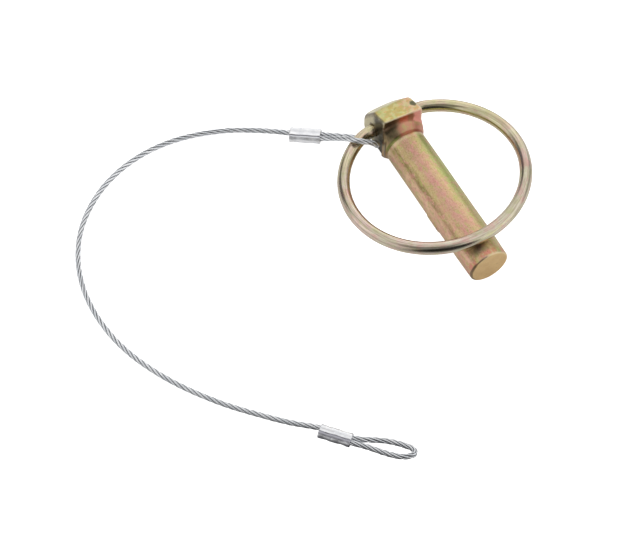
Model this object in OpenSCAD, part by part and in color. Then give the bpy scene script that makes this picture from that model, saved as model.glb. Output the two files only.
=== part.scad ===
// Lynch pin: a forged round pin with a block head, a wire ring that swings over the
// shank, and a short wire rope lanyard looped round the ring.
// Millimetres. The pin lies on its side on z = 0, the tip towards +X.

/* [Pin] */
// Shank diameter
shank_d = 11.1; // [10.4:0.1:11.8]
// Overall length from the back of the head to the tip
pin_l = 57; // [54:0.5:62]
// Width of the head, across the shank
head_w = 10.6; // [10:0.1:11]
// Height of the head's front ridge above the surface it lies on
head_h = 15.2; // [14.5:0.1:17]
// Radius of the fillet where the head runs onto the shank
neck_r = 2.7; // [2:0.1:2.9]
// Length of the lead end, which tapers slightly towards the tip
lead_l = 7.3; // [6:0.1:9]
// How much smaller the lead end's radius is at the tip
lead_taper = 0.12; // [0.05:0.01:0.3]
// Radius of the rounded edge round the tip face
tip_r = 0.5; // [0.3:0.1:1]
// Height of the small raised pad on the side of the shank
pad_h = 0.22; // [0.1:0.01:0.25]

/* [Ring] */
// Ring wire diameter
wire_d = 3.35; // [3:0.05:3.6]
// Radius of the ring, to the middle of the wire
ring_r = 23.4; // [22:0.1:24]
// Distance from the hinge line to the middle of the ring
ring_c = 21.9; // [20.6:0.1:22.2]
// Radius of the bend from the ring into each straight end
bend_r = 7; // [5:0.5:8]
// Radial clearance of the ring's ends in the head
hinge_clear = 0.06; // [0.03:0.01:0.1]

/* [Lanyard] */
// Wire rope diameter
cable_d = 1.5; // [1.2:0.1:1.6]
// Length of each crimped sleeve
sleeve_l = 8.3; // [7:0.1:9]
// Thickness of the crimped sleeve by the ring
sleeve_t = 2.8; // [2.4:0.1:3]
// Thickness of the crimped sleeve at the eye, which is pressed tighter
eye_sleeve_t = 2.4; // [2.2:0.1:2.8]

/* [Hidden] */
$fn = 96;

// ---- pin ----
shank_r = shank_d / 2;
axis_y = -0.5;              // the pin sits half a millimetre off the middle of the ring
axis_z = shank_r;
tip_x = pin_l / 2;
back_x = -pin_l / 2;
front_x = back_x + 12.1;    // front face of the head
grip_x = front_x + neck_r - 0.3;  // the full round grip starts where the neck has all but run out
lead_x = tip_x - lead_l;
half_w = head_w / 2;        // the head reaches this far on the -Y side of the shank's axis
right_w = half_w + 1.2;     // and a little further on the other
side_y = (right_w - half_w) / 2;
foot = 0.1;                 // the head's flat under side, just clear of the surface

// ---- hinge ----
hinge_x = back_x + 7;
hinge_z = 6.75;
hinge_roll = 3.36;          // the cross hole leans a little: its +Y end is the higher
wire_r = wire_d / 2;
bore_r = wire_r + hinge_clear;
bore_in = 1.5;              // half of the web left between the two blind holes

// ---- ring ----
run_y = sqrt((ring_r - ring_c) * (ring_r + ring_c - 2 * bend_r));
bend_a = asin(run_y / (ring_r - bend_r));
end_y = 2.6;
// The ring lies on the shank: the angle at which its far side just clears it.
ring_rest = asin((2 * shank_r + wire_r + 0.1 - hinge_z) / (ring_c + ring_r)) ;

// ---- sleeves on the lanyard ----
lobe_y = 0.78;              // the two runs of rope lie this far either side of the middle
eye_lobe_y = 0.7;
head_sleeve = [-28.9, -17.2, 2.4];   // its end next to the ring
head_sleeve_dir = [-0.612, -0.783, -0.11];
eye_sleeve = [46.4, -59.6, eye_sleeve_t / 2];  // its end next to the long run
eye_sleeve_dir = [0.747, 0.665, 0];

// ---- route of the wire rope, from one cut end to the other ----
route = [
  // cut end, inside the sleeve by the ring
  [-32.8, -23.5, 1.7], [-30.6, -20.6, 2.1], [-28.3, -17.7, 2.5],
  // over the ring wire
  [-25.8, -15.6, 4.2], [-23.2, -14.2, 6.5], [-21.0, -13.2, 8.3], [-19.4, -12.2, 9.1],
  [-18.3, -10.8, 9.0], [-17.6, -9.0, 8.2], [-17.3, -7.4, 7.0],
  // round the inside and back under it
  [-17.4, -6.8, 5.6], [-18.3, -6.7, 4.5], [-20.2, -7.3, 3.8], [-22.0, -8.5, 3.6],
  [-23.9, -10.2, 3.4], [-26.0, -12.7, 3.1], [-27.9, -15.1, 2.7],
  // through the sleeve by the ring
  [-29.5, -16.8, 2.4], [-32.0, -20.1, 1.9], [-34.4, -23.4, 1.4],
  // long run, lying on the surface
  [-36.4, -25.7, 1.0], [-39.3, -29.8, 0.8], [-42.9, -36.1, 0.8], [-45.6, -43.0, 0.8],
  [-47.3, -50.2, 0.8], [-47.7, -57.7, 0.8], [-46.6, -65.2, 0.8], [-43.9, -72.6, 0.8],
  [-39.5, -79.4, 0.8], [-33.6, -85.2, 0.8], [-26.4, -89.4, 0.8], [-18.4, -91.9, 0.8],
  [-10.3, -92.6, 0.8], [-2.4, -91.9, 0.8], [5.0, -90.0, 0.8], [11.9, -87.1, 0.8],
  [18.3, -83.6, 0.8], [24.2, -79.6, 0.8], [29.8, -75.2, 0.8], [34.9, -70.5, 0.8],
  [39.9, -65.6, 0.8], [43.1, -62.1, 1.0],
  // through the sleeve at the eye
  [45.9, -59.0, 1.2], [49.1, -56.2, 1.2], [52.2, -53.4, 1.2],
  // the eye
  [53.4, -51.8, 1.1], [54.5, -50.0, 1.0], [56.4, -47.0, 0.9], [58.4, -44.6, 0.8],
  [60.2, -43.0, 0.8], [61.4, -42.1, 0.8], [62.3, -41.9, 0.8], [63.0, -42.4, 0.8],
  [63.0, -43.6, 0.8], [62.2, -45.4, 0.8], [60.3, -47.6, 0.8], [58.0, -49.7, 0.9],
  [55.7, -51.7, 1.0],
  // cut end, inside the sleeve at the eye
  [53.3, -54.2, 1.2], [50.5, -56.9, 1.2], [47.5, -59.6, 1.2]
];
sides = 8;

function unit(v) = v / norm(v);
// direction of the route at point i, from its neighbours
function along(p, i) = unit(
  p[min(i + 1, len(p) - 1)] - p[max(i - 1, 0)]);
// a frame carried along the route without twisting
function carried(u, t) = unit(u - (u * t) * t);
function frames(p, i = 0, u = [0, 0, 1], out = []) =
  i == len(p) ? out :
  let (t = along(p, i), v = carried(u, t))
  frames(p, i + 1, v, concat(out, [[t, v]]));
function ring_of(c, f, r) = [for (k = [0 : sides - 1])
  let (a = 360 * (k + 0.5) / sides, w = cross(f[0], f[1]))
  c + r * (cos(a) * f[1] + sin(a) * w)];

module tube(p, r) {
  f = frames(p);
  n = len(p);
  pts = [for (i = [0 : n - 1]) each ring_of(p[i], f[i], r)];
  faces = concat(
    [[for (k = [0 : sides - 1]) k]],
    [for (i = [0 : n - 2], k = [0 : sides - 1])
      [i * sides + k, (i + 1) * sides + k, (i + 1) * sides + (k + 1) % sides]],
    [for (i = [0 : n - 2], k = [0 : sides - 1])
      [i * sides + k, (i + 1) * sides + (k + 1) % sides, i * sides + (k + 1) % sides]],
    [[for (k = [sides - 1 : -1 : 0]) (n - 1) * sides + k]]);
  polyhedron(points = pts, faces = faces);
}

// rounded rectangle from (x0, y0) to (x1, y1)
module rounded(x0, y0, x1, y1, r) {
  translate([x0 + r, y0]) square([x1 - x0 - 2 * r, y1 - y0]);
  translate([x0, y0 + r]) square([x1 - x0, y1 - y0 - 2 * r]);
  for (x = [x0 + r, x1 - r], y = [y0 + r, y1 - r]) translate([x, y]) circle(r = r);
}

// a solid of revolution about the shank's axis: profile (radius, distance along X)
module about_shank() {
  translate([0, axis_y, axis_z]) rotate([0, 90, 0]) rotate_extrude() children();
}

// side view of the head, seen along Y
module head_side() {
  polygon([
    [front_x + 0.4, foot], [back_x + 3.4, foot], [back_x + 2.2, 0.5], [back_x + 1.1, 1.4],
    [back_x + 0.4, 2.6], [back_x, 4.2], [back_x + 0.3, 5.4], [back_x + 1.1, 6.8],
    [back_x + 4.2, 11.3], [back_x + 4.8, 12.1], [back_x + 5.6, 12.7],
    [front_x - 0.3, head_h - 0.05], [front_x + 0.1, head_h - 0.15], [front_x + 0.4, head_h - 0.4]]);
}

// plan of the head, seen from above: a front a little out of square, a bowed back with round corners
module head_plan() {
  intersection() {
    translate([back_x + 20, side_y]) circle(r = 20);
    union() {
      rounded(back_x - 0.2, -half_w, back_x + 10, right_w, 3.4);
      polygon([[back_x + 6, -half_w], [front_x - 0.8, -half_w],
               [front_x - 0.5, -half_w + 0.3],
               [front_x + 0.3, right_w - 0.3], [front_x + 0.05, right_w], [back_x + 6, right_w]]);
    }
  }
}

// end view of the head, seen along X: sides with a little draft, round corners
module head_end() {
  intersection() {
    rounded(-half_w - 0.2, foot, right_w + 0.2, head_h + 1, 1.4);
    polygon([[-half_w - 0.2, 0], [right_w + 0.2, 0], [right_w + 0.2, 5], [right_w + 0.1, head_h + 1],
             [-half_w + 0.1, head_h + 1], [-half_w - 0.2, 5]]);
  }
}

module head() {
  intersection() {
    translate([0, axis_y + half_w + 3, 0]) rotate([90, 0, 0])
      linear_extrude(height = head_w + 6) head_side();
    translate([0, axis_y, 0]) linear_extrude(height = head_h + 2) head_plan();
    translate([back_x - 2, axis_y, 0]) rotate([90, 0, 90])
      linear_extrude(height = 20) head_end();
    // the sloping back is bowed as well
    translate([back_x + 1.1, axis_y + side_y, 6.8]) rotate([0, 34.6, 0])
      translate([22, 0, -20]) cylinder(r = 22, h = 40);
  }
}

// concave neck between the head's front face and the shank
module neck() {
  intersection() {
    about_shank() difference() {
      translate([0, front_x - 3]) square([shank_r + neck_r, 3 + neck_r]);
      translate([shank_r + neck_r, front_x + neck_r]) circle(r = neck_r);
    }
    translate([back_x, axis_y, 0]) rotate([90, 0, 90])
      linear_extrude(height = 40) head_end();
  }
}

module shank() {
  about_shank() {
    // grip, and a core of smaller radius inside the head
    translate([0, grip_x]) square([shank_r, lead_x - grip_x]);
    translate([0, front_x - 3]) square([shank_r - 0.5, 10]);
    // lead end
    polygon([[0, lead_x - 1], [shank_r - 0.2, lead_x - 1], [shank_r - 0.2, lead_x], [shank_r, lead_x],
             [shank_r - lead_taper, tip_x - tip_r], [shank_r - lead_taper - tip_r, tip_x - tip_r],
             [shank_r - lead_taper - tip_r, tip_x], [0, tip_x]]);
    translate([shank_r - lead_taper - tip_r, tip_x - tip_r]) circle(r = tip_r);
  }
  // small raised pad on the side
  intersection() {
    about_shank() translate([0, 6.8]) square([shank_r + pad_h, 5.4]);
    translate([6, axis_y - shank_r - 2, 2.6]) cube([7, shank_r, 2.8]);
  }
}

module cross_holes() {
  translate([hinge_x, 0, hinge_z]) rotate([hinge_roll, 0, 0])
    for (s = [-1, 1]) translate([0, s > 0 ? bore_in - 0.5 : -bore_in - 0.5, 0])
      rotate([s > 0 ? -90 : 90, 0, 0]) cylinder(r = bore_r, h = 12);
}

module pin() color([0.78, 0.66, 0.36]) difference() {
  union() {
    head();
    neck();
    shank();
  }
  cross_holes();
}

module half_ring() {
  // straight end in the head, its edge eased
  translate([0, end_y + 0.3, 0]) rotate([-90, 0, 0]) cylinder(r = wire_r, h = run_y - end_y - 0.3);
  translate([0, end_y, 0]) rotate([-90, 0, 0]) cylinder(r1 = wire_r - 0.3, r2 = wire_r, h = 0.3);
  // bend into the ring, a hair thinner than the wire on either side of it
  translate([bend_r, run_y, 0]) rotate([0, 0, 178.5 - bend_a])
    rotate_extrude(angle = bend_a + 3) translate([bend_r, 0]) circle(r = wire_r - 0.015);
}

module ring() color([0.80, 0.74, 0.58])
  translate([hinge_x, 0, hinge_z]) rotate([hinge_roll, 0, 0]) rotate([0, -ring_rest, 0]) {
    half_ring();
    mirror([0, 1, 0]) half_ring();
    translate([ring_c, 0, 0]) rotate([0, 0, bend_a - 180])
      rotate_extrude(angle = 360 - 2 * bend_a) translate([ring_r, 0]) circle(r = wire_r);
  }

module cable() color([0.62, 0.64, 0.66]) tube(route, cable_d / 2);

// crimped sleeve: two round lobes side by side, one for each run of the rope
module sleeve(at, dir, lobe_r, lobe_y) {
  heading = atan2(dir[1], dir[0]);
  dip = asin(dir[2]);
  translate(at) rotate([0, 0, heading]) rotate([0, 90 - dip, 0])
    for (s = [-1, 1]) translate([0, s * lobe_y, 0]) {
      cylinder(r1 = lobe_r - 0.2, r2 = lobe_r, h = 0.2);
      translate([0, 0, 0.2]) cylinder(r = lobe_r, h = sleeve_l - 0.4);
      translate([0, 0, sleeve_l - 0.2]) cylinder(r1 = lobe_r, r2 = lobe_r - 0.2, h = 0.2);
    }
}

module ferrule_head() color([0.85, 0.86, 0.87]) sleeve(head_sleeve, head_sleeve_dir, sleeve_t / 2, lobe_y);
module ferrule_eye() color([0.85, 0.86, 0.87]) sleeve(eye_sleeve, eye_sleeve_dir, eye_sleeve_t / 2, eye_lobe_y);

pin();
ring();
cable();
ferrule_head();
ferrule_eye();
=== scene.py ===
import math

import bpy
import numpy as np
from mathutils import Matrix, Vector


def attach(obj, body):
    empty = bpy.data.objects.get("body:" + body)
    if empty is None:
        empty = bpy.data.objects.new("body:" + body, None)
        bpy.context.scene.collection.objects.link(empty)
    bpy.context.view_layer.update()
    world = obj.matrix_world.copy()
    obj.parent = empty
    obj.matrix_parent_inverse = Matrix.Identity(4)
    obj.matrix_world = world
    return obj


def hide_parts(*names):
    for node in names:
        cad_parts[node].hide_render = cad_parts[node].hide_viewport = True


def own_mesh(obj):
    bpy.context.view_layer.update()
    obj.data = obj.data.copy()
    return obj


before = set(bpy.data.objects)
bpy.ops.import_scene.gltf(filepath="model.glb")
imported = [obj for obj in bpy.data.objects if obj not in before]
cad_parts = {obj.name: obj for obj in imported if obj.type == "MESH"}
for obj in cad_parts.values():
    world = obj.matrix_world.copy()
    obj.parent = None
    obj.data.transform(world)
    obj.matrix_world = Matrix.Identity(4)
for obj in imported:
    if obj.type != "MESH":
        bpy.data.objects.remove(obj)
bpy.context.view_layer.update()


MM = 0.001
scene = bpy.context.scene

# ------------------------------------------------------------------ camera
cam_data = bpy.data.cameras.new("camera")
cam_data.sensor_fit = "HORIZONTAL"
cam_data.sensor_width = 36.0
cam_data.lens = 142.07
cam_data.clip_start = 0.02
cam_data.clip_end = 30.0
camera = bpy.data.objects.new("camera", cam_data)
scene.collection.objects.link(camera)
right = Vector((0.48564, 0.87416, 0.0)).normalized()
back = Vector((0.45704, -0.25391, 0.85243)).normalized()
up = back.cross(right).normalized()
turn = Matrix((right, up, back)).transposed().to_4x4()
camera.matrix_world = Matrix.Translation(Vector((0.29433, -0.19854, 0.53966))) @ turn
scene.camera = camera


# ------------------------------------------------------------------ mesh helpers
def mesh_object(name, verts_mm, quads, material, caps=(), uv=None, marks=None):
    """A smooth mesh from points in millimetres, an array of quads and a few many-sided caps."""
    mesh = bpy.data.meshes.new(name)
    verts = np.asarray(verts_mm, np.float32) * MM
    quads = np.asarray(quads, np.int32)
    sizes = np.concatenate([np.full(len(quads), 4), [len(c) for c in caps]]).astype(np.int32)
    loops = np.concatenate([quads.ravel(), *[np.asarray(c) for c in caps]]).astype(np.int32)
    mesh.vertices.add(len(verts))
    mesh.vertices.foreach_set("co", verts.ravel())
    mesh.loops.add(len(loops))
    mesh.loops.foreach_set("vertex_index", loops)
    mesh.polygons.add(len(sizes))
    mesh.polygons.foreach_set("loop_start", np.concatenate([[0], np.cumsum(sizes)[:-1]]).astype(np.int32))
    mesh.polygons.foreach_set("loop_total", sizes)
    mesh.polygons.foreach_set("use_smooth", np.ones(len(sizes), bool))
    mesh.update(calc_edges=True)
    if uv is not None:
        layer = mesh.uv_layers.new(name="lay")
        layer.data.foreach_set("uv", np.asarray(uv, np.float32)[loops].ravel())
    if marks is not None:
        for key, value in marks.items():
            mark = mesh.attributes.new(key, "FLOAT", "POINT")
            mark.data.foreach_set("value", np.asarray(value, np.float32))
    mesh.materials.append(material)
    obj = bpy.data.objects.new(name, mesh)
    scene.collection.objects.link(obj)
    return obj


def unit(v):
    return v / np.maximum(np.linalg.norm(v, axis=-1, keepdims=True), 1e-12)


def spline(points, step):
    """Natural cubic spline through the points, resampled at even steps along its length."""
    p = np.asarray(points, float)
    n = len(p)
    t = np.concatenate([[0], np.cumsum(np.sqrt(np.linalg.norm(np.diff(p, axis=0), axis=1)) ** 1.0)])
    h = np.diff(t)
    a = np.zeros((n, n))
    rhs = np.zeros((n, 3))
    a[0, 0] = a[-1, -1] = 1
    for i in range(1, n - 1):
        a[i, i - 1], a[i, i], a[i, i + 1] = h[i - 1], 2 * (h[i - 1] + h[i]), h[i]
        rhs[i] = 6 * ((p[i + 1] - p[i]) / h[i] - (p[i] - p[i - 1]) / h[i - 1])
    m = np.linalg.solve(a, rhs)
    out = []
    for i in range(n - 1):
        s = np.linspace(0, h[i], 60, endpoint=False)[:, None]
        u = h[i] - s
        out.append(m[i] * u ** 3 / (6 * h[i]) + m[i + 1] * s ** 3 / (6 * h[i])
                   + (p[i] / h[i] - m[i] * h[i] / 6) * u + (p[i + 1] / h[i] - m[i + 1] * h[i] / 6) * s)
    dense = np.concatenate(out + [p[-1:]])
    s = np.concatenate([[0], np.cumsum(np.linalg.norm(np.diff(dense, axis=0), axis=1))])
    count = max(2, int(round(s[-1] / step)) + 1)
    at = np.linspace(0, s[-1], count)
    return np.stack([np.interp(at, s, dense[:, k]) for k in range(3)], 1), at


def carried_frames(c, start=(0, 0, 1)):
    """Directions along a centreline, and two across it carried along without twisting."""
    t = np.empty_like(c)
    t[1:-1] = c[2:] - c[:-2]
    t[0], t[-1] = c[1] - c[0], c[-1] - c[-2]
    t = unit(t)
    n = np.empty_like(c)
    v = np.asarray(start, float)
    for i in range(len(c)):
        v = v - (v @ t[i]) * t[i]
        v = v / np.linalg.norm(v)
        n[i] = v
    return t, n, np.cross(t, n)


def tube_faces(rings, sides, base=0):
    i = np.arange(rings - 1)[:, None] * sides
    k = np.arange(sides)[None, :]
    k2 = (k + 1) % sides
    q = np.stack([i + k, i + k2, i + sides + k2, i + sides + k], -1).reshape(-1, 4) + base
    return q, [np.arange(sides)[::-1] + base, np.arange(sides) + (rings - 1) * sides + base]


# ------------------------------------------------------------------ shape fields (millimetres)
def waves(seed, low, high, count, stretch=(1, 1, 1)):
    """Smooth seeded waviness, about -1 to 1, with wavelengths from low to high millimetres."""
    rng = np.random.default_rng(seed)
    d = unit(rng.normal(size=(count, 3))) * (2 * np.pi / np.exp(rng.uniform(np.log(low), np.log(high), (count, 1))))
    d = d / np.asarray(stretch, float)
    ph = rng.uniform(0, 2 * np.pi, count)
    amp = 1.0 / math.sqrt(count / 2)

    def f(x, y, z):
        out = 0
        for (a, b, c), q in zip(d.astype(np.float32), ph.astype(np.float32)):
            out = out + np.sin(a * x + b * y + c * z + q)
        return out * (amp * 0.6)
    return f


def soft_max(terms, k):
    top = terms[0]
    for t in terms[1:]:
        top = np.maximum(top, t)
    total = 0
    for t in terms:
        total = total + np.exp(k * (t - top))
    return top + np.log(total) / k


def convex(u, v, poly, k):
    """Distance to a convex outline given clockwise or anticlockwise, its corners softened."""
    p = np.asarray(poly, float)
    area = 0.5 * np.sum(p[:, 0] * np.roll(p[:, 1], -1) - np.roll(p[:, 0], -1) * p[:, 1])
    if area < 0:
        p = p[::-1]
    terms = []
    for a, b in zip(p, np.roll(p, -1, 0)):
        e = (b - a) / np.linalg.norm(b - a)
        terms.append(((u - a[0]) * e[1] - (v - a[1]) * e[0]).astype(np.float32))
    return soft_max(terms, k)


def meet(r, *terms):
    """Where all the terms are inside, with edges rounded to radius r."""
    total = 0
    top = terms[0]
    for t in terms:
        total = total + np.maximum(t + r, 0) ** 2
        top = np.maximum(top, t)
    return np.minimum(top, -r) + np.sqrt(total)


def fillet(r, a, b):
    """a and b together, with a concave fillet of radius r between them."""
    return np.maximum(r, np.minimum(a, b)) - np.sqrt(np.maximum(r - a, 0) ** 2 + np.maximum(r - b, 0) ** 2)


def step(x, a, b):
    t = np.clip((x - a) / (b - a), 0, 1)
    return t * t * (3 - 2 * t)


def surface_net(field, lo, hi, h, relax=4):
    """Quads on the zero level of a field, pulled onto it exactly and evened out along it."""
    lo, hi = np.asarray(lo, float), np.asarray(hi, float)
    n = np.ceil((hi - lo) / h).astype(int) + 1
    ax = [(lo[i] + h * np.arange(n[i])).astype(np.float32) for i in range(3)]
    v = np.empty(tuple(n), np.float32)
    for i0 in range(0, n[0], 40):
        gx, gy, gz = np.meshgrid(ax[0][i0:i0 + 40], ax[1], ax[2], indexing="ij")
        v[i0:i0 + 40] = field(gx, gy, gz)
    s = v < 0
    cells = tuple(n - 1)
    acc = np.zeros(cells + (3,), np.float32)
    cnt = np.zeros(cells, np.int8)
    edges = []
    for a in range(3):
        b, c = (a + 1) % 3, (a + 2) % 3
        lower = [slice(None)] * 3
        upper = [slice(None)] * 3
        lower[a], upper[a] = slice(None, -1), slice(1, None)
        va, vb = v[tuple(lower)], v[tuple(upper)]
        cross = s[tuple(lower)] != s[tuple(upper)]
        w = np.where(cross, va / np.where(cross, va - vb, 1), 0).astype(np.float32)
        idx = np.argwhere(cross)
        tt = w[cross]
        pos = idx.astype(np.float32)
        pos[:, a] += tt
        for db in (0, 1):
            for dc in (0, 1):
                cell = idx.copy()
                cell[:, b] -= db
                cell[:, c] -= dc
                ok = (cell >= 0).all(1) & (cell < np.array(cells)).all(1)
                np.add.at(acc, tuple(cell[ok].T), pos[ok])
                np.add.at(cnt, tuple(cell[ok].T), 1)
        edges.append((a, b, c, idx, s[tuple(lower)][cross]))
    live = cnt > 0
    number = np.full(cells, -1, np.int64)
    number[live] = np.arange(live.sum())
    verts = acc[live] / cnt[live][:, None] * h + lo
    quads = []
    for a, b, c, idx, inside_low in edges:
        corner = []
        for db, dc in ((1, 1), (0, 1), (0, 0), (1, 0)):
            cell = idx.copy()
            cell[:, b] -= db
            cell[:, c] -= dc
            ok = (cell >= 0).all(1) & (cell < np.array(cells)).all(1)
            cell = np.clip(cell, 0, np.array(cells) - 1)
            corner.append(np.where(ok, number[tuple(cell.T)], -1))
        q = np.stack(corner, 1)
        q = np.where(inside_low[:, None], q, q[:, ::-1])
        quads.append(q[(q >= 0).all(1)])
    quads = np.concatenate(quads)

    def value(p):
        return field(p[:, 0], p[:, 1], p[:, 2]).astype(float)

    def grad(p, e=0.02):
        g = np.empty_like(p)
        for k in range(3):
            d = np.zeros(3)
            d[k] = e
            g[:, k] = (value(p + d) - value(p - d)) / (2 * e)
        return g

    def settle(p, times):
        for _ in range(times):
            g = grad(p)
            move = -value(p)[:, None] * g / np.maximum((g * g).sum(1), 0.2)[:, None]
            length = np.linalg.norm(move, axis=1, keepdims=True)
            p = p + move * np.minimum(1, 0.4 * h / np.maximum(length, 1e-9))
        return p

    verts = settle(verts.astype(float), 2)
    pairs = np.concatenate([quads[:, [0, 1]], quads[:, [1, 2]], quads[:, [2, 3]], quads[:, [3, 0]]])
    pairs = np.concatenate([pairs, pairs[:, ::-1]])
    deg = np.bincount(pairs[:, 0], minlength=len(verts)).astype(float)
    for _ in range(relax):
        mean = np.stack([np.bincount(pairs[:, 0], verts[pairs[:, 1], k], len(verts)) for k in range(3)], 1) / deg[:, None]
        nrm = unit(grad(verts))
        move = 0.5 * (mean - verts)
        move -= (move * nrm).sum(1, keepdims=True) * nrm
        verts = settle(verts + move, 1)
    return settle(verts, 1), quads


def edge_marks(field, pts, r):
    """How much each point stands on an outer edge, or lies in a dip, where shade is then painted: both 0 on a flat."""
    g = (1 + 5 ** 0.5) / 2
    dirs = unit(np.array([(0, a, b) for a in (-1, 1) for b in (-g, g)] + [(a, b, 0) for a in (-1, 1) for b in (-g, g)]
                         + [(b, 0, a) for a in (-1, 1) for b in (-g, g)], float)) * r
    mean = sum(field(*(pts + d).T) for d in dirs) / len(dirs) / r
    return {"edge": np.clip(mean, 0, 1), "hollow_and_shade": np.clip(-mean, 0, 1)}


# ------------------------------------------------------------------ node helpers
class Nodes:
    """A small way of writing a node tree as arithmetic."""

    def __init__(self, name):
        self.mat = bpy.data.materials.new(name)
        self.mat.use_nodes = True
        self.nt = self.mat.node_tree
        self.nt.nodes.clear()
        self.out = self.nt.nodes.new("ShaderNodeOutputMaterial")
        self.bsdf = self.nt.nodes.new("ShaderNodeBsdfPrincipled")
        self.nt.links.new(self.bsdf.outputs["BSDF"], self.out.inputs["Surface"])

    def feed(self, socket, value):
        if isinstance(value, Sock):
            self.nt.links.new(value.s, socket)
        elif isinstance(value, (tuple, list)):
            v = list(value)
            if len(v) == 3 and len(socket.default_value) == 4:
                v = v + [1.0]
            socket.default_value = v
        else:
            socket.default_value = value

    def math(self, op, a, b=0.0, clamp=False):
        n = self.nt.nodes.new("ShaderNodeMath")
        n.operation = op
        n.use_clamp = clamp
        self.feed(n.inputs[0], a)
        self.feed(n.inputs[1], b)
        return Sock(self, n.outputs[0])

    def place(self):
        """The object's own coordinates in millimetres, as a vector and its three parts."""
        tc = self.nt.nodes.new("ShaderNodeTexCoord")
        m = self.nt.nodes.new("ShaderNodeVectorMath")
        m.operation = "SCALE"
        self.nt.links.new(tc.outputs["Object"], m.inputs[0])
        m.inputs["Scale"].default_value = 1000.0
        return (Sock(self, m.outputs[0]), *self.split(Sock(self, m.outputs[0])))

    def uv(self):
        n = self.nt.nodes.new("ShaderNodeUVMap")
        n.uv_map = "lay"
        return self.split(Sock(self, n.outputs[0]))

    def mark(self, name):
        n = self.nt.nodes.new("ShaderNodeAttribute")
        n.attribute_name = name
        return Sock(self, n.outputs["Fac"])

    def split(self, v):
        s = self.nt.nodes.new("ShaderNodeSeparateXYZ")
        self.nt.links.new(v.s, s.inputs[0])
        return tuple(Sock(self, s.outputs[k]) for k in range(3))

    def join(self, x, y, z):
        c = self.nt.nodes.new("ShaderNodeCombineXYZ")
        for k, v in enumerate((x, y, z)):
            self.feed(c.inputs[k], v)
        return Sock(self, c.outputs[0])

    def normal(self):
        g = self.nt.nodes.new("ShaderNodeTexCoord")
        return self.split(Sock(self, g.outputs["Normal"]))

    def noise(self, vec, scale=1.0, detail=3.0, rough=0.5, distort=0.0):
        n = self.nt.nodes.new("ShaderNodeTexNoise")
        self.nt.links.new(vec.s, n.inputs["Vector"])
        n.inputs["Scale"].default_value = scale
        n.inputs["Detail"].default_value = detail
        n.inputs["Roughness"].default_value = rough
        n.inputs["Distortion"].default_value = distort
        return Sock(self, n.outputs[0])

    def ramp(self, fac, stops, kind="LINEAR"):
        n = self.nt.nodes.new("ShaderNodeValToRGB")
        n.color_ramp.interpolation = kind
        self.feed(n.inputs[0], fac)
        e = n.color_ramp.elements
        while len(e) > 1:
            e.remove(e[-1])
        e[0].position, e[0].color = stops[0][0], (*stops[0][1], 1)
        for p, c in stops[1:]:
            x = e.new(p)
            x.color = (*c, 1)
        return Sock(self, n.outputs[0])

    def mix(self, fac, a, b, kind="MIX"):
        n = self.nt.nodes.new("ShaderNodeMix")
        n.data_type = "RGBA"
        n.blend_type = kind
        self.feed(n.inputs[0], fac)
        self.feed(n.inputs[6], a)
        self.feed(n.inputs[7], b)
        return Sock(self, n.outputs[2])

    def smooth(self, x, a, b):
        """0 before a, 1 after b, smooth between; b may be below a."""
        n = self.nt.nodes.new("ShaderNodeMapRange")
        n.interpolation_type = "SMOOTHSTEP"
        self.feed(n.inputs[0], x)
        if a < b:
            n.inputs[1].default_value, n.inputs[2].default_value = a, b
            n.inputs[3].default_value, n.inputs[4].default_value = 0.0, 1.0
        else:
            n.inputs[1].default_value, n.inputs[2].default_value = b, a
            n.inputs[3].default_value, n.inputs[4].default_value = 1.0, 0.0
        return Sock(self, n.outputs[0])

    def scale(self, x, a, b, c, d):
        n = self.nt.nodes.new("ShaderNodeMapRange")
        self.feed(n.inputs[0], x)
        for k, v in enumerate((a, b, c, d)):
            n.inputs[k + 1].default_value = v
        return Sock(self, n.outputs[0])

    def bump(self, height, strength, distance):
        n = self.nt.nodes.new("ShaderNodeBump")
        n.inputs["Strength"].default_value = strength
        n.inputs["Distance"].default_value = distance
        self.feed(n.inputs["Height"], height)
        return Sock(self, n.outputs[0])

    def set(self, **k):
        for name, value in k.items():
            self.feed(self.bsdf.inputs[name.replace("_", " ")], value)
        return self.mat


class Sock:
    def __init__(self, g, s):
        self.g, self.s = g, s

    def __add__(self, o):
        return self.g.math("ADD", self, o)

    def __sub__(self, o):
        return self.g.math("SUBTRACT", self, o)

    def __mul__(self, o):
        return self.g.math("MULTIPLY", self, o)

    def __rmul__(self, o):
        return self.g.math("MULTIPLY", self, o)

    def __radd__(self, o):
        return self.g.math("ADD", self, o)

    def __rsub__(self, o):
        return self.g.math("SUBTRACT", o, self)


def lin(r, g, b):
    """An 8-bit display colour as linear light."""
    return tuple(((c / 255) / 12.92 if c <= 10 else ((c / 255 + 0.055) / 1.055) ** 2.4) for c in (r, g, b))


# ------------------------------------------------------------------ materials
def bands(g, t, rows):
    """Colours by angle round the shank, in degrees from its top towards -Y."""
    return g.ramp(t, [(a / 360 + 0.5, lin(*c)) for a, c in rows], "EASE")


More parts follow.
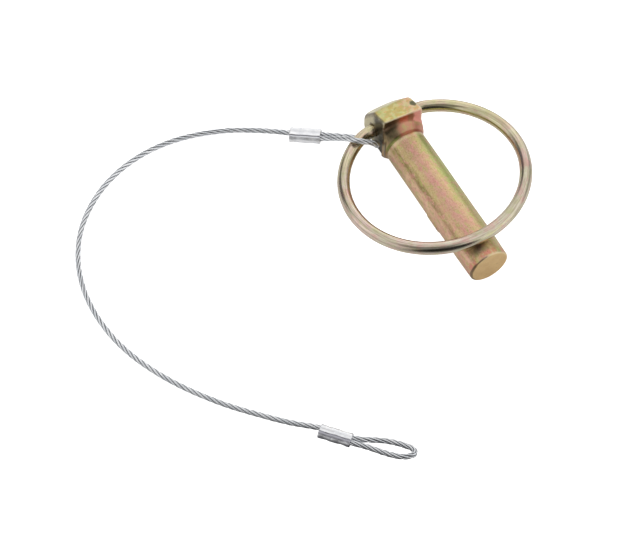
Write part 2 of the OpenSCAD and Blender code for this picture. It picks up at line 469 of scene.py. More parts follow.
def zinc_pin():
    """Yellow zinc plating on a forging: bands of gold, green and rose that run along the shank. Some of the colours
    are painted light: reflections on the shank and the ring's shade on it, and shade and highlights on the head.
    """
    g = Nodes("yellow_zinc")
    p, x, y, z = g.place()
    wander = g.noise(g.join(x * 0.07, y * 0.30, z * 0.30), 1.0, 3.0, 0.5)
    streak = g.noise(g.join(x * 0.16, y * 1.9, z * 1.9), 1.0, 4.0, 0.62)
    thread = g.noise(g.join(x * 0.5, y * 5.5, z * 5.5), 1.0, 3.0, 0.6)
    cloud = g.noise(p, 0.36, 4.0, 0.6)
    spot = g.noise(p, 0.8, 4.0, 0.6)
    fine = g.noise(p, 2.6, 4.0, 0.65)
    grain = g.noise(p, 9.0, 3.0, 0.6)
    # angle round the shank from its top towards -Y, moved about by the noise
    ang = g.math("ARCTAN2", (y + 0.5) * -1.0, z - 5.55) * (1 / (2 * math.pi))
    t = ang + 0.5
    t = t + (wander - 0.5) * 0.050 + (streak - 0.5) * 0.045
    gold, green, olive, rose, pale = (210, 184, 134), (182, 192, 118), (138, 122, 78), (216, 164, 146), (240, 202, 170)
    # the olive band at 48 degrees is a painted dark reflection of the horizon, and the pale band at 60 degrees is a
    # painted reflection of the bright floor; the gold, green and rose bands are the plating's own colours
    shank = bands(g, t, [
        (-180, gold), (-60, green), (-28, green), (-8, gold), (12, rose), (32, gold), (48, olive), (60, pale), (100, gold)])
    xx = x + (cloud - 0.5) * 16.0
    shank = g.mix(g.smooth(xx, -3.0, -9.0) * 0.30, shank, lin(*olive))
    shank = g.mix(g.smooth(xx, 5.0, 12.0) * 0.35, shank, lin(*rose))
    # blotches of rose and green, and fine lengthwise threads
    shank = g.mix(g.smooth(spot, 0.54, 0.70) * 0.50, shank, lin(214, 158, 150))
    shank = g.mix(g.smooth(spot, 0.46, 0.30) * 0.45, shank, lin(180, 184, 112))
    mottle = g.noise(g.join(x * 0.42, y * 0.85, z * 0.85), 1.0, 2.0, 0.5, 0.3)
    mottle2 = g.noise(g.join(x * 0.50, y * 0.95 + 9.0, z * 0.95), 1.0, 2.0, 0.5, 0.3)
    shank = g.mix(g.smooth(mottle + (fine - 0.5) * 0.25, 0.52, 0.64) * 0.50, shank, lin(178, 184, 104))
    shank = g.mix(g.smooth(mottle2 + (fine - 0.5) * 0.25, 0.52, 0.64) * 0.50, shank, lin(218, 146, 144))
    shank = g.mix(g.smooth(fine, 0.52, 0.64) * 0.30, shank, lin(236, 216, 180))
    shank = g.mix(g.smooth(fine, 0.48, 0.38) * 0.30, shank, lin(150, 128, 92))
    shank = g.mix(g.smooth(thread, 0.50, 0.72) * 0.35, shank, lin(150, 132, 96))
    shank = g.mix(g.smooth(thread, 0.48, 0.28) * 0.30, shank, lin(224, 204, 170))
    turn = ang * 360.0 + (spot - 0.5) * 30.0
    # painted shade where the ring crosses the shank near the tip: a dark green patch standing for the ring's shadow
    # and dark reflection
    ring_shade = g.smooth(x + (spot - 0.5) * 1.5, 22.6, 24.0) * g.smooth(x + (fine - 0.5) * 1.5, 27.2, 26.2)
    shank = g.mix(ring_shade * g.smooth(turn, -20.0, 2.0) * g.smooth(turn, 48.0, 28.0) * 0.55, shank, lin(92, 102, 66))
    shank = g.mix(g.smooth(x + (spot - 0.5), 26.0, 27.2) * g.smooth(mottle2, 0.40, 0.52) * 0.6, shank, lin(208, 120, 108))
    tip = g.mix(g.smooth(cloud, 0.35, 0.65), lin(214, 182, 128), lin(206, 172, 120))
    shank = g.mix(g.smooth(x, 28.30, 28.44), shank, tip)
    # head: top facet, front, sides and sloping back
    top = g.mix(g.smooth(y + (spot - 0.5) * 4.0, 0.6, 2.6), lin(204, 192, 124), lin(226, 176, 150))
    top = g.mix(g.smooth(spot, 0.50, 0.66) * 0.6, top, lin(180, 192, 122))
    top = g.mix(g.smooth(mottle2, 0.52, 0.66) * 0.5, top, lin(222, 170, 128))
    top = g.mix(g.smooth(fine, 0.52, 0.70) * 0.4, top, lin(226, 200, 130))
    top = g.mix(g.smooth(mottle, 0.50, 0.62) * 0.45, top, lin(172, 186, 118))
    top = g.mix(g.smooth(mottle2, 0.47, 0.36) * 0.45, top, lin(216, 206, 160))
    dab = g.noise(p, 1.3, 3.0, 0.6)
    top = g.mix(g.smooth(dab, 0.50, 0.57) * 0.30, top, lin(160, 172, 88))
    top = g.mix(g.smooth(dab, 0.47, 0.41) * 0.30, top, lin(222, 168, 112))
    dab2 = g.noise(g.join(x + 3.0, y * 0.9, z), 0.75, 2.0, 0.5)
    top = g.mix(g.smooth(dab2, 0.50, 0.56) * 0.45, top, lin(190, 162, 92))
    top = g.mix(g.smooth(dab2, 0.48, 0.42) * 0.45, top, lin(206, 204, 152))
    # painted highlight: a pale cream band along the rounded right edge of the top
    rim_highlight = g.smooth(y + (fine - 0.5) * 0.8, 5.2, 5.8)
    top = g.mix(rim_highlight, top, lin(232, 224, 198))
    # a dark green patch on the top, near its right edge
    sx, sy = (x + 19.45) * 0.85 + (fine - 0.5) * 1.2, (y - 4.75) * 1.25 + (spot - 0.5) * 1.6
    corner_patch = g.smooth(sx * sx + sy * sy, 1.45, 0.50) * g.smooth(z, 12.9, 13.3)
    top = g.mix(corner_patch * 0.85, top, lin(62, 76, 56))
    wob = (spot - 0.5) * 1.6
    xf = x - (y - 0.6) * 0.0714
    # across the front, brownish on the -Y side to pink-red on the +Y side: partly the coating's colours, partly
    # painted reflection of the shank and floor, darker on the -Y side
    front = g.mix(g.smooth(y + wob, -1.6, -0.6), lin(160, 134, 112), lin(196, 112, 90))
    front = g.mix(g.smooth(y + wob, 1.1, 1.9), front, lin(160, 106, 78))
    front = g.mix(g.smooth(y + wob, 2.7, 3.6), front, lin(228, 154, 140))
    rear = g.mix(g.smooth(cloud, 0.4, 0.65), lin(228, 222, 194), lin(204, 196, 156))
    rear = g.mix(g.smooth(spot, 0.54, 0.70) * 0.5, rear, lin(206, 176, 146))
    # sides: painted shade darkens the front half of the -Y side and the rear half stays pale; the +Y side takes its
    # own colours below
    side = g.mix(g.smooth(x + (spot - 0.5) * 2.0, -22.4, -20.4), lin(198, 188, 152), lin(92, 86, 68))
    side = g.mix(g.smooth(y, 0.0, 1.0), side, lin(206, 176, 142))
    side = g.mix(g.smooth(y, 0.0, 1.0) * g.smooth(mottle, 0.50, 0.64) * 0.7, side, lin(180, 178, 122))
    nx, ny, nz = g.normal()
    is_front = g.smooth(xf, -16.98, -16.74) * g.smooth(nx, 0.25, 0.50)
    is_rear = g.smooth(x + z * 0.55, -15.6, -17.2)
    head = g.mix(is_rear, top, rear)
    head = g.mix(g.smooth(g.math("ABSOLUTE", y - 0.6), 5.68, 5.84), head, side)
    head = g.mix(is_front, head, front)
    # neck, the crease where it meets the shank, painted dark as shade, and the shoulder after it, painted pale as a
    # highlight
    neck = g.mix(g.smooth(y + wob * 1.6, -3.4, -0.8), lin(182, 162, 124), lin(186, 138, 112))
    neck = g.mix(g.smooth(y + wob, 1.8, 3.6), neck, lin(204, 142, 122))
    neck = g.mix(g.smooth(z, 6.0, 3.0), neck, lin(206, 170, 130))
    neck = g.mix(g.smooth(mottle, 0.50, 0.62) * 0.55, neck, lin(176, 168, 110))
    neck = g.mix(g.smooth(mottle2, 0.50, 0.62) * 0.22, neck, lin(212, 124, 112))
    head = g.mix(g.smooth(xf, -16.35, -15.9), head, neck)
    colour = g.mix(g.smooth(x, -13.3, -13.9), shank, head)
    # painted highlight: a pale band on the shoulder just past the crease
    colour = g.mix(g.smooth(x, -13.7, -13.3) * g.smooth(x, -12.0, -13.1) * 0.5, colour, lin(232, 208, 172))
    # painted shade in the crease: dark green on the -Y side, red-brown on the +Y side, lighter low down
    crease = g.mix(g.smooth(y + wob, -2.6, -1.4), lin(112, 124, 58), lin(150, 80, 58))
    crease = g.mix(g.smooth(z, 7.5, 5.0), crease, lin(170, 126, 84))
    colour = g.mix(g.smooth(x, -14.45, -14.1) * g.smooth(x, -13.35, -13.65) * 0.75, colour, crease)
    edge, hollow_and_shade = g.mark("edge"), g.mark("hollow_and_shade")
    # painted shade: darker brown in the dips of the forging
    colour = g.mix(g.smooth(hollow_and_shade, 0.04, 0.20) * 0.45, colour, lin(120, 84, 60))
    # painted highlight: pale cream along the outer edges, held back on the front edge of the -Y side
    edge_highlight = g.smooth(edge + (fine - 0.5) * 0.05, 0.05, 0.16) * (0.46 - g.smooth(y, -3.0, -4.5) * g.smooth(z, 13.8, 12.5) * 0.46)
    shade = g.smooth(y, -1.2, -2.4) * g.smooth(xf, -16.9, -16.6) * g.smooth(xf, -15.2, -15.8) * g.smooth(z, 7.0, 9.0)
    shade = g.math("MAXIMUM", shade * 0.6, g.smooth(y, -4.0, -4.8) * g.smooth(edge, 0.03, 0.10) * g.smooth(z, 13.6, 12.6) * 0.8)
    colour = g.mix(shade, colour, lin(104, 88, 68))
    colour = g.mix(edge_highlight, colour, lin(232, 222, 186))
    # olive stains in noise patches over the forging
    colour = g.mix(g.smooth(g.noise(p, 1.5, 2.0, 0.5), 0.62, 0.78) * 0.35, colour, lin(132, 122, 76))
    rough = g.scale(fine, 0.3, 0.7, 0.26, 0.40)
    height = fine * 0.5 + grain * 0.35 + thread * 0.5
    g.set(Base_Color=colour, Metallic=1.0, Roughness=rough, Normal=g.bump(height, 0.45, 0.00008))
    return g.mat


def zinc_ring():
    """Drawn spring wire, zinc plated: pale champagne with a little green and rose, and fine draw lines."""
    g = Nodes("champagne_zinc")
    p, x, y, z = g.place()
    u, v, _ = g.uv()
    cloud = g.noise(p, 0.11, 3.0, 0.6)
    patch = g.noise(p, 0.26, 3.0, 0.6)
    lines = g.noise(g.join(u * 0.16, v * 24.0, 0.0), 1.0, 4.0, 0.62)
    fine = g.noise(p, 3.5, 4.0, 0.6)
    base = g.mix(g.smooth(cloud, 0.42, 0.58), lin(205, 196, 174), lin(211, 190, 178))
    base = g.mix(g.smooth(patch, 0.52, 0.66) * 0.45, base, lin(190, 190, 142))
    base = g.mix(g.smooth(patch, 0.46, 0.34) * 0.65, base, lin(212, 172, 160))
    # the far side of the ring, towards the head, is more olive
    base = g.mix(g.smooth(y, 9.0, 20.0) * g.smooth(x, 8.0, -6.0) * 0.5, base, lin(190, 186, 130))
    # the bends by the head are browner
    base = g.mix(g.smooth(x + (patch - 0.5) * 8.0, -10.0, -16.0) * 0.7, base, lin(216, 206, 164))
    fleck = g.noise(g.join(u * 0.30, v * 5.0, 3.0), 1.0, 3.0, 0.6)
    base = g.mix(g.smooth(fleck, 0.52, 0.62) * 0.45, base, lin(206, 158, 156))
    base = g.mix(g.smooth(fleck, 0.47, 0.38) * 0.40, base, lin(184, 184, 130))
    base = g.mix(g.smooth(lines, 0.48, 0.60) * 0.42, base, lin(144, 130, 104))
    base = g.mix(g.smooth(lines, 0.48, 0.36) * 0.40, base, lin(236, 230, 216))
    rough = g.scale(fine, 0.3, 0.7, 0.12, 0.23)
    g.set(Base_Color=base, Metallic=1.0, Roughness=rough,
          Normal=g.bump(lines * 0.7 + fine * 0.4, 0.25, 0.00006))
    return g.mat


def steel_rope():
    """Galvanised strand wire: cool grey, with painted shade making it darker in the valleys between the strands and
    the wires.
    """
    g = Nodes("galvanised_strand")
    p, x, y, z = g.place()
    u, v, _ = g.uv()
    cloud = g.noise(g.join(u * 0.25, v * 2.0, 0.0), 1.0, 3.0, 0.6)
    fine = g.noise(p, 9.0, 3.0, 0.6)
    base = g.mix(g.smooth(cloud, 0.35, 0.65), lin(216, 219, 223), lin(242, 243, 245))
    base = g.mix(g.smooth(fine, 0.52, 0.72) * 0.35, base, lin(176, 180, 186))
    # painted shade: darker grey deep in the valleys between the strands and the wires
    base = g.mix(g.smooth(v, 0.90, 0.66), base, lin(118, 122, 128))
    rough = g.scale(fine, 0.3, 0.7, 0.22, 0.40)
    g.set(Base_Color=base, Metallic=1.0, Roughness=rough, Normal=g.bump(fine, 0.2, 0.00003))
    return g.mat


def crimped_aluminium():
    """Soft bright aluminium, pressed in a die: pale, slightly scuffed."""
    g = Nodes("crimped_aluminium")
    p, x, y, z = g.place()
    cloud = g.noise(p, 0.9, 3.0, 0.6)
    fine = g.noise(p, 5.0, 4.0, 0.6)
    scuff = g.noise(p, 2.2, 5.0, 0.7, 0.6)
    base = g.mix(g.smooth(cloud, 0.35, 0.65), lin(236, 237, 240), lin(246, 246, 247))
    base = g.mix(g.smooth(scuff, 0.56, 0.70) * 0.3, base, lin(204, 204, 212))
    # painted shade: violet-grey where the dark mark is high, in the dips and over the shaded lobe
    base = g.mix(g.smooth(g.mark("hollow_and_shade"), 0.10, 0.45) * 0.8, base, lin(112, 110, 126))
    rough = g.scale(scuff, 0.3, 0.7, 0.30, 0.48)
    g.set(Base_Color=base, Metallic=1.0, Roughness=rough,
          Normal=g.bump(fine * 0.5 + scuff * 0.8, 0.3, 0.00008))
    return g.mat


PIN_MAT, RING_MAT, ROPE_MAT, SLEEVE_MAT = zinc_pin(), zinc_ring(), steel_rope(), crimped_aluminium()

# ------------------------------------------------------------------ wire rope
ROUTE = [
    (-32.8, -23.5, 1.7), (-30.6, -20.6, 2.1), (-28.3, -17.7, 2.5),
    (-25.8, -15.6, 4.2), (-23.2, -14.2, 6.5), (-21.0, -13.2, 8.3), (-19.4, -12.2, 9.1),
    (-18.3, -10.8, 9.0), (-17.6, -9.0, 8.2), (-17.3, -7.4, 7.0),
    (-17.4, -6.8, 5.6), (-18.3, -6.7, 4.5), (-20.2, -7.3, 3.8), (-22.0, -8.5, 3.6),
    (-23.9, -10.2, 3.4), (-26.0, -12.7, 3.1), (-27.9, -15.1, 2.7),
    (-29.5, -16.8, 2.4), (-32.0, -20.1, 1.9), (-34.4, -23.4, 1.4),
    (-36.4, -25.7, 1.0), (-39.3, -29.8, 0.8), (-42.9, -36.1, 0.8), (-45.6, -43.0, 0.8),
    (-47.3, -50.2, 0.8), (-47.7, -57.7, 0.8), (-46.6, -65.2, 0.8), (-43.9, -72.6, 0.8),
    (-39.5, -79.4, 0.8), (-33.6, -85.2, 0.8), (-26.4, -89.4, 0.8), (-18.4, -91.9, 0.8),
    (-10.3, -92.6, 0.8), (-2.4, -91.9, 0.8), (5.0, -90.0, 0.8), (11.9, -87.1, 0.8),
    (18.3, -83.6, 0.8), (24.2, -79.6, 0.8), (29.8, -75.2, 0.8), (34.9, -70.5, 0.8),
    (39.9, -65.6, 0.8), (43.1, -62.1, 1.0),
    (45.9, -59.0, 1.2), (49.1, -56.2, 1.2), (52.2, -53.4, 1.2),
    (53.4, -51.8, 1.1), (54.5, -50.0, 1.0), (56.4, -47.0, 0.9), (58.4, -44.6, 0.8),
    (60.2, -43.0, 0.8), (61.4, -42.1, 0.8), (62.3, -41.9, 0.8), (63.0, -42.4, 0.8),
    (63.0, -43.6, 0.8), (62.2, -45.4, 0.8), (60.3, -47.6, 0.8), (58.0, -49.7, 0.9),
    (55.7, -51.7, 1.0),
    (53.3, -54.2, 1.2), (50.5, -56.9, 1.2), (47.5, -59.6, 1.2),
]
LAY = 10.45         # length of one turn of a strand
WIRE_LAY = 5.2     # length of one turn of a wire in its strand
STRANDS = 5
STRAND_R = 0.277
HELIX_R = 0.473

line, at = spline(ROUTE, 0.30)
tang, nor, bin_ = carried_frames(line)
verts, faces, caps, uvs = [], [], [], []
base = 0
SIDES = 12
for k in range(STRANDS):
    phi = 2 * np.pi * (k / STRANDS + at / LAY)
    radial = np.cos(phi)[:, None] * nor + np.sin(phi)[:, None] * bin_
    centre = line + HELIX_R * radial
    d = np.gradient(centre, axis=0)
    d = unit(d)
    radial = unit(radial - (radial * d).sum(1, keepdims=True) * d)
    side = np.cross(d, radial)
    th = 2 * np.pi * np.arange(SIDES) / SIDES
    lobed = np.where(np.arange(SIDES) % 2 == 0, 1.0, 0.84) * STRAND_R
    a = th[None, :] - (2 * np.pi * at / WIRE_LAY)[:, None]
    ring = centre[:, None, :] + lobed[None, :, None] * (
        np.cos(a)[..., None] * radial[:, None, :] + np.sin(a)[..., None] * side[:, None, :])
    verts.append(ring.reshape(-1, 3))
    q, c = tube_faces(len(at), SIDES, base)
    faces.append(q)
    caps += c
    depth = np.linalg.norm(ring - line[:, None, :], axis=2) / (HELIX_R + STRAND_R)
    uvs.append(np.stack([np.repeat(at + 31.0 * k, SIDES), depth.ravel()], 1))
    base += len(at) * SIDES
core = line[::2]
ct, cn, cb = carried_frames(core)
th = 2 * np.pi * np.arange(6) / 6
ring = core[:, None, :] + 0.3 * (np.cos(th)[None, :, None] * cn[:, None, :] + np.sin(th)[None, :, None] * cb[:, None, :])
verts.append(ring.reshape(-1, 3))
q, c = tube_faces(len(core), 6, base)
faces.append(q)
caps += c
uvs.append(np.stack([np.repeat(at[::2], 6), np.full(6 * len(core), 0.4)], 1))
rope = mesh_object("wire_rope", np.concatenate(verts), np.concatenate(faces), ROPE_MAT, caps, uv=np.concatenate(uvs))


# ------------------------------------------------------------------ crimped sleeves
def sleeve(name, at_, direction, lobe_r, lobe_y, seed, die, near, seam, lobe_shade):
    """Two lobes pressed round the two runs of rope, with the marks of the crimping die."""
    length = 8.3
    d = np.asarray(direction, float)
    heading, dip = math.atan2(d[1], d[0]), math.asin(d[2])
    turn_ = Matrix.Rotation(heading, 3, "Z") @ Matrix.Rotation(math.pi / 2 - dip, 3, "Y")
    rot = np.array(turn_)
    lumps = waves(seed, 1.2, 4.0, 26)
    dents = waves(seed + 1, 0.5, 1.4, 26)

    c_s, s_s = math.cos(math.radians(seam)), math.sin(math.radians(seam))

    def seam_side(x, y):
        """Distance below the line where the two halves of the die met, and how far out on that lobe."""
        ny, nx = near * y - lobe_y, -x
        return ny * s_s - nx * c_s, step(ny * c_s + nx * s_s, 0.2, 0.7)

    def field(x, y, z):
        # local x is thickness, y across the two lobes, z along
        press = np.exp(-((z - 2.1) / 0.95) ** 2) + np.exp(-((z - 6.2) / 0.95) ** 2)
        r = lobe_r - 0.02 - die * 0.07 * press + 0.028 * lumps(x, y, z)
        a = np.hypot(x, y - lobe_y) - r
        b = np.hypot(x, y + lobe_y) - r
        k = 0.42
        h = np.clip(0.5 + 0.5 * (b - a) / k, 0, 1)
        body = b + (a - b) * h - k * h * (1 - h)
        body = body + 0.012 * dents(x, y, z)
        off, face = seam_side(x, y)
        body = body + face * (0.17 * np.exp(-(off / 0.15) ** 2) + 0.05 * step(off, -0.05, 0.10))
        ends = np.abs(z - length / 2) - length / 2 + 0.03 * np.abs(lumps(y * 1.3, z * 0, x))
        body = meet(0.22, body, ends)
        for s in (-1, 1):
            hole = np.hypot(x, y - s * lobe_y) - 0.84
            bottom = 0.75 - np.minimum(z, length - z)
            body = np.maximum(body, -np.maximum(hole, -bottom * -1.0))
        return body

    pts, quads = surface_net(field, (-lobe_r - 0.3, -lobe_y - lobe_r - 0.3, -0.3),
                             (lobe_r + 0.3, lobe_y + lobe_r + 0.3, length + 0.3), 0.085, 3)
    world = pts @ rot.T + np.asarray(at_, float)
    marks = edge_marks(field, pts, 0.22)
    off, face = seam_side(pts[:, 0], pts[:, 1])
    shine = 0.7 * np.exp(-((off - 0.95 + 0.06 * lumps(0, 0, pts[:, 2])) / 0.12) ** 2)
    # the dark mark also gets a dark line along the die seam, and painted shade over the lobe past the seam with a thin
    # painted highlight band (shine) left across it
    marks["hollow_and_shade"] = marks["hollow_and_shade"] + 0.5 * face * np.exp(-(off / 0.13) ** 2) + lobe_shade * step(off, 0.0, 0.15) * (1 - shine)
    return mesh_object(name, world, quads, SLEEVE_MAT, marks=marks)


sleeve_head = sleeve("sleeve_head", (-28.9, -17.2, 2.4), (-0.612, -0.783, -0.11), 1.4, 0.78, 11, 1.0, 1, 80, 0.0)
sleeve_eye = sleeve("sleeve_eye", (46.4, -59.6, 1.2), (0.747, 0.665, 0.0), 1.2, 0.70, 23, 1.4, -1, 104, 0.34)

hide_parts("cable")
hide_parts("ferrule_head")
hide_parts("ferrule_eye")
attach(sleeve_head, "pin")
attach(sleeve_eye, "pin")
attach(rope, "pin")
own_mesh(rope)
[tuple(float(c) * MM for c in q) for q in [*line[::5][:-1], line[-1]]]

# ------------------------------------------------------------------ ring
HINGE = np.array([-21.5, 0.0, 6.75])
WIRE_R, RING_R, RING_C, BEND_R, END_Y = 1.675, 23.4, 21.9, 7.0, 2.6
run_y = math.sqrt((RING_R - RING_C) * (RING_R + RING_C - 2 * BEND_R))
bend_a = math.asin(run_y / (RING_R - BEND_R))
rest = math.asin((11.1 + WIRE_R + 0.1 - 6.75) / (RING_C + RING_R))
half = [(0.0, END_Y + s) for s in np.linspace(0, run_y - END_Y, 12, endpoint=False)]
half += [(BEND_R + BEND_R * math.cos(a), run_y + BEND_R * math.sin(a))
         for a in np.linspace(math.pi, math.pi - bend_a, 9, endpoint=False)]
half += [(RING_C + RING_R * math.cos(a), RING_R * math.sin(a))
         for a in np.linspace(math.pi - bend_a, 0, 190, endpoint=False)]
path = half + [(RING_C + RING_R, 0.0)] + [(q[0], -q[1]) for q in half[::-1]]
path = np.array([(q[0], q[1], 0.0) for q in path])
s_ring = np.concatenate([[0], np.cumsum(np.linalg.norm(np.diff(path, axis=0), axis=1))])
t_r, n_r, b_r = carried_frames(path)
RSIDES = 44
th = 2 * np.pi * np.arange(RSIDES) / RSIDES
radius = np.full(len(path), WIRE_R)
end_gap = np.minimum(s_ring, s_ring[-1] - s_ring)
radius = radius - 0.3 * np.clip(1 - end_gap / 0.3, 0, 1)
ripple = waves(5, 9.0, 30.0, 20)
radius = radius + 0.012 * ripple(path[:, 0], path[:, 1], path[:, 2])
radius = np.minimum(radius, WIRE_R)
ring_pts = path[:, None, :] + radius[:, None, None] * (
    np.cos(th)[None, :, None] * n_r[:, None, :] + np.sin(th)[None, :, None] * b_r[:, None, :])
ring_pts = ring_pts.reshape(-1, 3)
roll = np.array(Matrix.Rotation(math.radians(3.36), 3, "X") @ Matrix.Rotation(-rest, 3, "Y"))
ring_pts = ring_pts @ roll.T + HINGE
ring_uv = np.stack([np.repeat(s_ring, RSIDES), np.tile(np.abs(th / np.pi - 1), len(path))], 1)
q, c = tube_faces(len(path), RSIDES)
ring_obj = mesh_object("ring_wire", ring_pts, q, RING_MAT, c, uv=ring_uv)
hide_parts("ring")
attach(ring_obj, "ring")

# ------------------------------------------------------------------ pin
AXIS_Y, SHANK_R = -0.5, 5.55
SIDE = [(-16.0, 0.1), (-25.1, 0.1), (-26.3, 0.5), (-27.4, 1.4), (-28.1, 2.6), (-28.5, 4.2), (-28.2, 5.4),
        (-27.4, 6.8), (-24.3, 11.3), (-23.7, 12.1), (-22.9, 12.7), (-16.7, 15.2), (-15.9, 15.12)]
END = [(-5.5, -3.0), (6.7, -3.0), (6.7, 5.0), (6.6, 15.9), (-5.2, 15.9), (-5.5, 5.0)]
forge = waves(3, 1.6, 7.0, 30)
drawn = waves(4, 1.4, 5.0, 26, stretch=(5, 1, 1))
skin = waves(6, 0.8, 2.2, 24)
cr, sr = math.cos(math.radians(3.36)), math.sin(math.radians(3.36))
cs, ss = math.cos(math.radians(34.6)), math.sin(math.radians(34.6))


def pin_field(x, y, z):
    yy = y - AXIS_Y
    zz = z - SHANK_R
    rho = np.hypot(yy, zz)
    # head
    side = convex(x, z, SIDE, 7.0)
    end = meet(1.4, convex(yy, z, END, 7.0), 0.1 - z)
    bow = np.hypot(x + 8.5, yy - 0.6) - 20.0
    qx, qy = np.abs(x + 18.7) - 10.0 + 3.4, np.abs(yy - 0.6) - 5.9 + 3.4
    box_ = np.where(x < -22, np.hypot(np.maximum(qx, 0), np.maximum(qy, 0)) - 3.4, np.abs(yy - 0.6) - 5.9)
    front_x = -16.5 + 0.0714 * (yy - 0.6)
    front = x - front_x
    # cylinder along the sloping back
    lx = (x + 27.4) * cs - (z - 6.8) * ss
    slope = np.hypot(lx - 22.0, yy - 0.6) - 22.0
    head = meet(0.9, soft_max([side, bow, slope], 5.0), end, box_)
    head = meet(0.28, head, front)
    # shank, neck and lead end
    lead = 0.12 * step(x, 21.0, 28.0)
    pad = 0.22 * step(x, 6.5, 7.2) * step(x, 12.6, 11.8) * step(z, 2.2, 3.0) * step(z, 5.9, 5.1) * (yy < 0)
    r = SHANK_R - lead + pad + 0.014 * drawn(x, y, z) - 0.5 * step(x, -15.4, -17.0) - 0.14 * np.exp(-((x + 13.85) / 0.34) ** 2)
    a = np.maximum(rho - r, -20.0 - x)
    # flared neck, a little hollow, that meets the shank in a crease
    flare = 5.55 + 0.60 * (-13.9 - x) + 0.05 * np.clip(-13.9 - x, 0, 4) ** 2
    cone = np.maximum((rho - flare) * 0.84, -18.4 - x)
    h = np.clip(0.5 + 0.5 * (a - cone) / 0.22, 0, 1)
    neck = a + (cone - a) * h - 0.22 * h * (1 - h)
    wider = 1.3 * step(x, -15.6, -13.2) - 0.9 * step(x, -16.6, -17.4)
    neck = meet(0.5, neck, end - wider)
    body = meet(0.5, neck, x - 28.5)
    # the shank's start is buried in the head
    k = 0.18 + 0.7 * step(end, -0.4, -1.6) * step(x, -18.0, -16.9)
    h = np.clip(0.5 + 0.5 * (body - head) / k, 0, 1)
    both = body + (head - body) * h - k * h * (1 - h)
    both = both + (0.022 * forge(x, y, z) + 0.006 * skin(x, y, z)) * step(x, -12.0, -16.0)
    # cross holes, blind from each side, mouths eased
    hy = y * cr + (z - 6.75) * sr
    hz = -y * sr + (z - 6.75) * cr
    hole = np.hypot(x + 21.5, hz) - 1.745
    web = 1.5 - np.abs(hy + 0.5)
    bore = np.maximum(hole, web)
    return meet(0.30, both, -bore)


pin_pts, pin_quads = surface_net(pin_field, (-29.1, -6.9, -0.5), (29.1, 6.6, 15.9), 0.21, 4)
pin_pts[:, 2] = np.maximum(pin_pts[:, 2], 0.0)
pin_obj = mesh_object("pin_forging", pin_pts, pin_quads, PIN_MAT, marks=edge_marks(pin_field, pin_pts, 0.38))
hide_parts("pin")
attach(pin_obj, "pin")

# ------------------------------------------------------------------ floor and light
floor_mesh = bpy.data.meshes.new("floor")
floor_mesh.from_pydata([(-3, -3, 0), (3, -3, 0), (3, 3, 0), (-3, 3, 0)], [], [(0, 1, 2, 3)])
fg = Nodes("floor_white")
fp, fx, fy, fz = fg.place()
paper = fg.noise(fp, 0.6, 3.0, 0.5)
f_ahead, f_across = fx * 0.857 - fy * 0.515, fx * 0.515 + fy * 0.857
f_dark = fg.smooth(f_ahead, 22.0, 75.0) * fg.smooth(fg.math("ABSOLUTE", f_across) - f_ahead * 0.6, 30.0, -30.0)
f_cam = fg.nt.nodes.new("ShaderNodeLightPath")
fg.set(Base_Color=fg.mix(f_dark, (0.90, 0.90, 0.90), (0.22, 0.22, 0.22)), Roughness=0.9, Specular_IOR_Level=0.1, Emission_Color=(1.0, 1.0, 1.0),
       Emission_Strength=Sock(fg, f_cam.outputs["Is Camera Ray"]) * (f_dark * 0.6 + 0.85) + (1.0 - f_dark) * 0.16, Normal=fg.bump(paper, 0.05, 0.0001))
floor_mesh.materials.append(fg.mat)
floor = bpy.data.objects.new("floor", floor_mesh)
scene.collection.objects.link(floor)

world = bpy.data.worlds.new("studio")
scene.world = world
world.use_nodes = True
wg = Nodes.__new__(Nodes)
wg.nt = world.node_tree
wg.nt.nodes.clear()
w_out = wg.nt.nodes.new("ShaderNodeOutputWorld")
w_tc = wg.nt.nodes.new("ShaderNodeTexCoord")
w_dir = Sock(wg, w_tc.outputs["Generated"])
_, w_y, w_z = wg.split(w_dir)


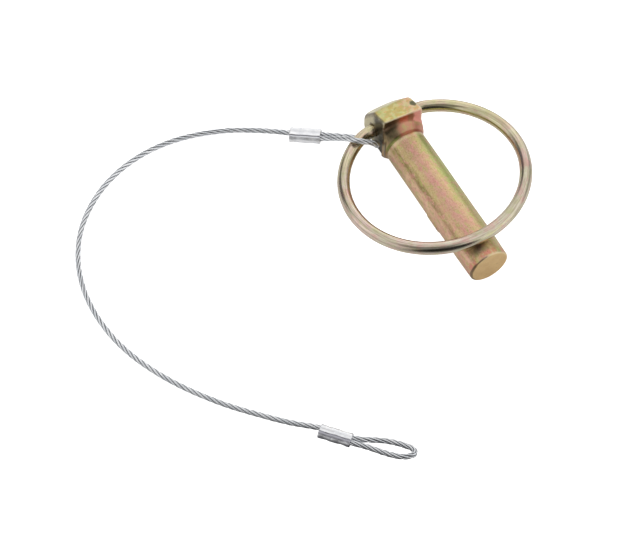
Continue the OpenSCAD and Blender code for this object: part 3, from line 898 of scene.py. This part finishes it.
def patch(azimuth, elevation, inner, outer):
    """1 near a direction, 0 away from it, in degrees."""
    a, e = math.radians(azimuth), math.radians(elevation)
    n = wg.nt.nodes.new("ShaderNodeVectorMath")
    n.operation = "DOT_PRODUCT"
    wg.nt.links.new(w_dir.s, n.inputs[0])
    n.inputs[1].default_value = (math.cos(e) * math.cos(a), math.cos(e) * math.sin(a), math.sin(e))
    return wg.smooth(Sock(wg, n.outputs["Value"]), math.cos(math.radians(outer)), math.cos(math.radians(inner)))


level = wg.smooth(w_z, -0.02, 0.12) * 0.44 + 0.50
level = level * (w_y * 0.12 + 1.0)
level = level * (1.0 - patch(-25, 17, 25, 39) * 0.97)
level = level * (1.0 - patch(-52, 60, 15, 29) * 0.70)
level = level * (1.0 - patch(-157, 18, 13, 28) * 0.80)
level = level * (1.0 - patch(92, 8, 14, 28) * 0.52)
w_cam = wg.nt.nodes.new("ShaderNodeLightPath")
w_bg = wg.nt.nodes.new("ShaderNodeBackground")
w_grey = wg.join(level, level, level)
wg.feed(w_bg.inputs[0], wg.mix(Sock(wg, w_cam.outputs["Is Camera Ray"]), w_grey, (1.0, 1.0, 1.0)))
wg.nt.links.new(w_bg.outputs[0], w_out.inputs[0])


def softbox(name, azimuth, elevation, distance, size, radiance):
    a, e = math.radians(azimuth), math.radians(elevation)
    at_ = Vector((math.cos(e) * math.cos(a), math.cos(e) * math.sin(a), math.sin(e))) * distance
    light = bpy.data.lights.new(name, "AREA")
    light.shape = "RECTANGLE"
    light.size, light.size_y = size
    light.energy = radiance * math.pi * size[0] * size[1]
    o = bpy.data.objects.new(name, light)
    o.location = at_
    o.rotation_euler = (Vector((0, -0.03, 0)) - at_).to_track_quat("-Z", "Y").to_euler()
    scene.collection.objects.link(o)
    return o


softbox("left", -122, 22, 1.2, (0.9, 0.7), 0.26)
softbox("right", 142, 24, 1.2, (0.8, 0.7), 0.30)
softbox("front", 32, 20, 1.2, (0.9, 0.7), 0.28)

scene.view_settings.view_transform = "Standard"
scene.view_settings.look = "None"
scene.view_settings.exposure = 0.0
scene.view_settings.gamma = 1.0
